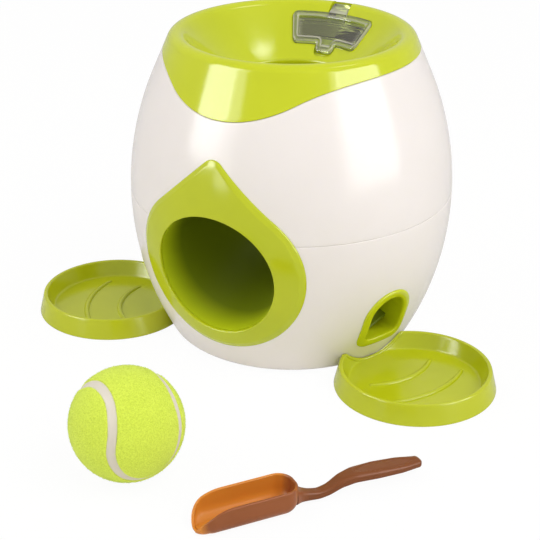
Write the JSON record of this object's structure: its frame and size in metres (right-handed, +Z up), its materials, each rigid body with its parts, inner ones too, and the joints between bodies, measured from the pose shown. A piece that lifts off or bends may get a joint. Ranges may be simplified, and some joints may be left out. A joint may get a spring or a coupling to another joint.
{
  "type": "ball launcher",
  "caption": "Free-standing dog toy: a ball dropped in the funnel turns a paddle wheel, rolls out in front and drops treats into two side trays.",
  "frame": {"origin": "centre of the flat ring that the housing stands on, on the floor", "axes": "+Z up, -Y the front where the ball comes out, +X to the viewer's right when facing the front"},
  "size_m": [0.323, 0.3502, 0.1978],
  "materials": {
    "green_gloss": "smooth semi-gloss moulded ABS, yellow-green",
    "white_gloss": "smooth semi-gloss moulded ABS, warm white",
    "clear_gloss": "clear polycarbonate, polished",
    "green_frame": "smooth semi-gloss moulded ABS, yellow-green",
    "chute_green": "smooth semi-gloss moulded ABS, yellow-green",
    "brown": "moulded polypropylene, satin, warm orange-brown",
    "tray_green": "smooth semi-gloss moulded ABS, yellow-green",
    "natural_plastic": "natural polypropylene, satin",
    "grey_plastic": "moulded nylon, satin",
    "steel": "zinc-plated steel",
    "bearing_brass": "sintered bronze bush",
    "rubber": "soft black rubber",
    "ball_rubber": "pressureless rubber core",
    "felt": "fuzzy optic-yellow felt"
  },
  "bodies": {
    "housing": {"funnel_top": "green_gloss", "hatch_pin": "steel", "upper_shell": "white_gloss", "lower_shell": "white_gloss", "exit_frame": "green_frame", "ball_chute": "chute_green", "treat_hopper": "natural_plastic", "axle_bushes": "bearing_brass", "detent_spring": "steel", "treat_slide": "natural_plastic", "spout_right": "green_gloss", "spout_left": "green_gloss", "base_plate": "grey_plastic", "rubber_pads": "rubber", "shell_screws": "steel", "base_screws": "steel", "hopper_screws": "steel", "spring_screw": "steel"},
    "hatch": {"hatch_door": "clear_gloss"},
    "rotor": {"paddle_wheel": "grey_plastic", "drum_right": "grey_plastic", "drum_left": "grey_plastic", "drum_axle": "steel", "detent_cam": "grey_plastic"},
    "right_tray": {"tray_right": "tray_green"},
    "left_tray": {"tray_left": "tray_green"},
    "ball": {"ball_core": "ball_rubber", "ball_felt": "felt"},
    "scoop": {"scoop": "brown"}
  },
  "joints": [
    {"name": "hatch_hinge", "type": "hinge", "parent": "housing", "child": "hatch", "pos_m": [0, 0.0705, 0.1932], "axis": [-1, 0, 0], "range_deg": [0, 110]},
    {"name": "rotor_spin", "type": "hinge", "parent": "housing", "child": "rotor", "pos_m": [0, 0.054, 0.097], "axis": [1, 0, 0], "continuous": true},
    {"name": "tray_right_pull", "type": "slide", "parent": "housing", "child": "right_tray", "axis": [0.9239, -0.3827, 0], "range_m": [0, 0.06]},
    {"name": "tray_left_pull", "type": "slide", "parent": "housing", "child": "left_tray", "axis": [-0.9239, -0.3827, 0], "range_m": [0, 0.06]},
    {"name": "ball_lift", "type": "slide", "parent": "housing", "child": "ball", "axis": [0, 0, 1], "range_m": [0, 0.2]},
    {"name": "scoop_lift", "type": "slide", "parent": "housing", "child": "scoop", "axis": [0, 0, 1], "range_m": [0, 0.15]}
  ]
}
